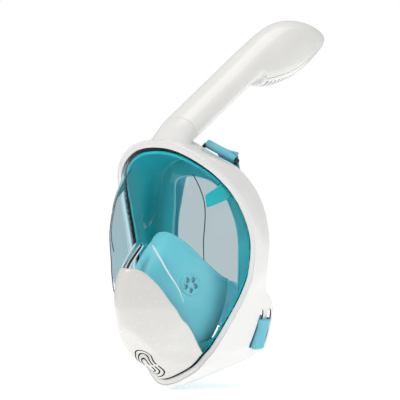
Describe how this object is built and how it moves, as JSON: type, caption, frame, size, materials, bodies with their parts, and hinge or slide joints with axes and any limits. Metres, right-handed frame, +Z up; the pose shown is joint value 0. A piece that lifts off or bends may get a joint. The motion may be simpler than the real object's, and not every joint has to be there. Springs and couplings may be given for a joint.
{
  "type": "full face snorkel",
  "caption": "Full face snorkelling mask with a clear folded lens, hard frame, silicone skirt and breathing pocket, pull-out oval snorkel with dry-top float, and elastic head harness.",
  "frame": {"origin": "middle of the face seal, where the wearer's face meets the skirt", "axes": "+X to the wearer's left, +Y from the lens towards the face, +Z up"},
  "size_m": [0.1806, 0.3211, 0.3636],
  "materials": {
    "white_plastic": "glossy white moulded plastic",
    "clear_lens": "clear polished polycarbonate",
    "teal_silicone": "satin teal silicone",
    "pale_silicone": "satin translucent light teal silicone",
    "black_rubber": "matt black rubber",
    "strap_fabric": "woven elastic webbing",
    "stainless_steel": "plain stainless steel"
  },
  "bodies": {
    "mask": {"back_pad": "strap_fabric", "breathing_pocket": "pale_silicone", "clamp_ring": "white_plastic", "face_skirt": "teal_silicone", "front_cover": "white_plastic", "inhale_seat_left": "pale_silicone", "inhale_seat_right": "pale_silicone", "lens": "clear_lens", "lower_strap_left": "strap_fabric", "lower_strap_right": "strap_fabric", "main_frame": "white_plastic", "purge_seat": "white_plastic", "ring_screw_left_1": "stainless_steel", "ring_screw_left_2": "stainless_steel", "ring_screw_left_3": "stainless_steel", "ring_screw_right_1": "stainless_steel", "ring_screw_right_2": "stainless_steel", "ring_screw_right_3": "stainless_steel", "socket_gasket": "black_rubber", "upper_strap_bar_left": "white_plastic", "upper_strap_bar_right": "white_plastic", "upper_strap_left": "strap_fabric", "upper_strap_right": "strap_fabric"},
    "snorkel": {"float_cage": "white_plastic", "float_gasket": "black_rubber", "head_cap": "white_plastic", "head_gasket": "black_rubber", "head_shell": "white_plastic", "snorkel_tube": "white_plastic", "tube_divider": "white_plastic"},
    "float_valve": {"float": "teal_silicone"},
    "inhale_flap_left": {"inhale_flap_left": "teal_silicone"},
    "inhale_flap_right": {"inhale_flap_right": "teal_silicone"},
    "purge_flap": {"purge_flap": "teal_silicone"}
  },
  "joints": [
    {"name": "snorkel_pull", "type": "slide", "parent": "mask", "child": "snorkel", "axis": [0, 0.8746, 0.4848], "range_m": [0, 0.03]},
    {"name": "float_rise", "type": "slide", "parent": "snorkel", "child": "float_valve", "axis": [0, 0, 1], "range_m": [0, 0.0044]},
    {"name": "inhale_flap_left_open", "type": "slide", "parent": "mask", "child": "inhale_flap_left", "axis": [-0.9404, 0.3124, -0.1345], "range_m": [0, 0.0012], "stiffness_N_per_m": 12},
    {"name": "inhale_flap_right_open", "type": "slide", "parent": "mask", "child": "inhale_flap_right", "axis": [0.9404, 0.3124, -0.1345], "range_m": [0, 0.0012], "stiffness_N_per_m": 12},
    {"name": "purge_flap_open", "type": "slide", "parent": "mask", "child": "purge_flap", "axis": [0, -0.6832, -0.7302], "range_m": [0, 0.0012], "stiffness_N_per_m": 12}
  ]
}
